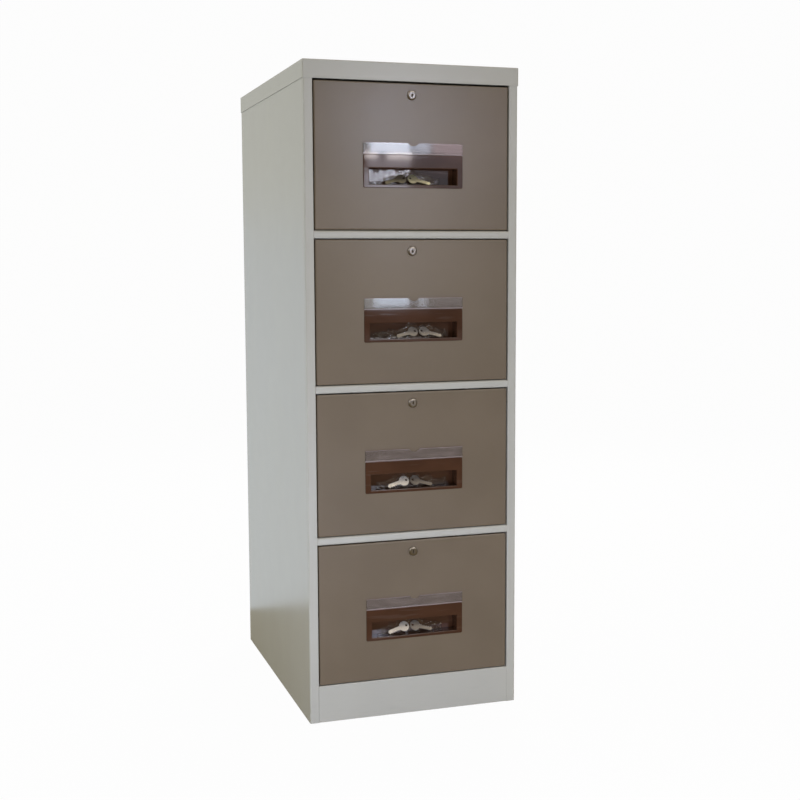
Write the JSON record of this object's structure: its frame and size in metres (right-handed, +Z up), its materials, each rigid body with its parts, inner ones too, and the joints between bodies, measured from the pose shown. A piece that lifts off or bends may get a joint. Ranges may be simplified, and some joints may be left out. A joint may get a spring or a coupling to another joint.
{
  "type": "filing cabinet",
  "caption": "Upright steel filing cabinet with lockable full-extension drawers, recessed pull handles and clear card holders.",
  "frame": {"origin": "on the floor, at the centre of the outer box", "axes": "+Z up, drawers open towards -Y, +X to the right of someone facing the drawers"},
  "size_m": [0.45, 0.6252, 1.32],
  "materials": {
    "cabinet_enamel": "warm light grey stoved enamel, semi-gloss",
    "drawer_enamel": "taupe brown stoved enamel, semi-gloss, faint orange peel",
    "tray_enamel": "light grey enamel, thin coat",
    "runner_zinc": "bright zinc plated steel with a film of grease",
    "handle_plastic": "dark brown moulded plastic, glossy",
    "card_window": "clear extruded plastic",
    "lock_chrome": "chrome plated",
    "lock_steel": "zinc plated pressed steel",
    "key_brass": "bright brass",
    "key_nickel": "nickel plated"
  },
  "bodies": {
    "carcass": {"side_panel_left": "cabinet_enamel", "side_panel_right": "cabinet_enamel", "back_panel": "cabinet_enamel", "top_cap": "cabinet_enamel", "plinth": "cabinet_enamel", "base_pan": "cabinet_enamel", "cross_rail_1": "cabinet_enamel", "cross_rail_2": "cabinet_enamel", "cross_rail_3": "cabinet_enamel", "top_rail": "cabinet_enamel", "upright_front_left": "cabinet_enamel", "upright_front_right": "cabinet_enamel", "upright_rear_left": "cabinet_enamel", "upright_rear_right": "cabinet_enamel", "runner_outer_1": "runner_zinc", "runner_outer_2": "runner_zinc", "runner_outer_3": "runner_zinc", "runner_outer_4": "runner_zinc"},
    "drawer_1": {"front_1": "drawer_enamel", "tray_1": "tray_enamel", "handle_1": "handle_plastic", "card_holder_1": "card_window", "lock_body_1": "lock_chrome", "keys_1": "key_brass", "runner_inner_1": "runner_zinc"},
    "runner_1": {"runner_middle_1": "runner_zinc"},
    "lock_1": {"lock_plug_1": "lock_chrome", "lock_cam_1": "lock_steel"},
    "drawer_2": {"front_2": "drawer_enamel", "tray_2": "tray_enamel", "handle_2": "handle_plastic", "card_holder_2": "card_window", "lock_body_2": "lock_chrome", "keys_2": "key_nickel", "runner_inner_2": "runner_zinc"},
    "runner_2": {"runner_middle_2": "runner_zinc"},
    "lock_2": {"lock_plug_2": "lock_chrome", "lock_cam_2": "lock_steel"},
    "drawer_3": {"front_3": "drawer_enamel", "tray_3": "tray_enamel", "handle_3": "handle_plastic", "card_holder_3": "card_window", "lock_body_3": "lock_chrome", "keys_3": "key_nickel", "runner_inner_3": "runner_zinc"},
    "runner_3": {"runner_middle_3": "runner_zinc"},
    "lock_3": {"lock_plug_3": "lock_chrome", "lock_cam_3": "lock_steel"},
    "drawer_4": {"front_4": "drawer_enamel", "tray_4": "tray_enamel", "handle_4": "handle_plastic", "card_holder_4": "card_window", "lock_body_4": "lock_chrome", "keys_4": "key_nickel", "runner_inner_4": "runner_zinc"},
    "runner_4": {"runner_middle_4": "runner_zinc"},
    "lock_4": {"lock_plug_4": "lock_chrome", "lock_cam_4": "lock_steel"}
  },
  "joints": [
    {"name": "drawer_1_slide", "type": "slide", "parent": "carcass", "child": "drawer_1", "axis": [0, -1, 0], "range_m": [0, 0.52]},
    {"name": "runner_1_extend", "type": "slide", "parent": "carcass", "child": "runner_1", "axis": [0, -1, 0], "range_m": [0, 0.26]},
    {"name": "lock_1_turn", "type": "hinge", "parent": "drawer_1", "child": "lock_1", "pos_m": [-0.003, -0.3081, 1.2579], "axis": [0, 1, 0], "range_deg": [0, 90]},
    {"name": "drawer_2_slide", "type": "slide", "parent": "carcass", "child": "drawer_2", "axis": [0, -1, 0], "range_m": [0, 0.52]},
    {"name": "runner_2_extend", "type": "slide", "parent": "carcass", "child": "runner_2", "axis": [0, -1, 0], "range_m": [0, 0.26]},
    {"name": "lock_2_turn", "type": "hinge", "parent": "drawer_2", "child": "lock_2", "pos_m": [-0.003, -0.3081, 0.9522], "axis": [0, 1, 0], "range_deg": [0, 90]},
    {"name": "drawer_3_slide", "type": "slide", "parent": "carcass", "child": "drawer_3", "axis": [0, -1, 0], "range_m": [0, 0.52]},
    {"name": "runner_3_extend", "type": "slide", "parent": "carcass", "child": "runner_3", "axis": [0, -1, 0], "range_m": [0, 0.26]},
    {"name": "lock_3_turn", "type": "hinge", "parent": "drawer_3", "child": "lock_3", "pos_m": [-0.003, -0.3081, 0.6465], "axis": [0, 1, 0], "range_deg": [0, 90]},
    {"name": "drawer_4_slide", "type": "slide", "parent": "carcass", "child": "drawer_4", "axis": [0, -1, 0], "range_m": [0, 0.52]},
    {"name": "runner_4_extend", "type": "slide", "parent": "carcass", "child": "runner_4", "axis": [0, -1, 0], "range_m": [0, 0.26]},
    {"name": "lock_4_turn", "type": "hinge", "parent": "drawer_4", "child": "lock_4", "pos_m": [-0.003, -0.3081, 0.3408], "axis": [0, 1, 0], "range_deg": [0, 90]}
  ],
  "couplings": [
    {"joint": "runner_1_extend", "follows": "drawer_1_slide", "ratio": 0.5},
    {"joint": "runner_2_extend", "follows": "drawer_2_slide", "ratio": 0.5},
    {"joint": "runner_3_extend", "follows": "drawer_3_slide", "ratio": 0.5},
    {"joint": "runner_4_extend", "follows": "drawer_4_slide", "ratio": 0.5}
  ]
}
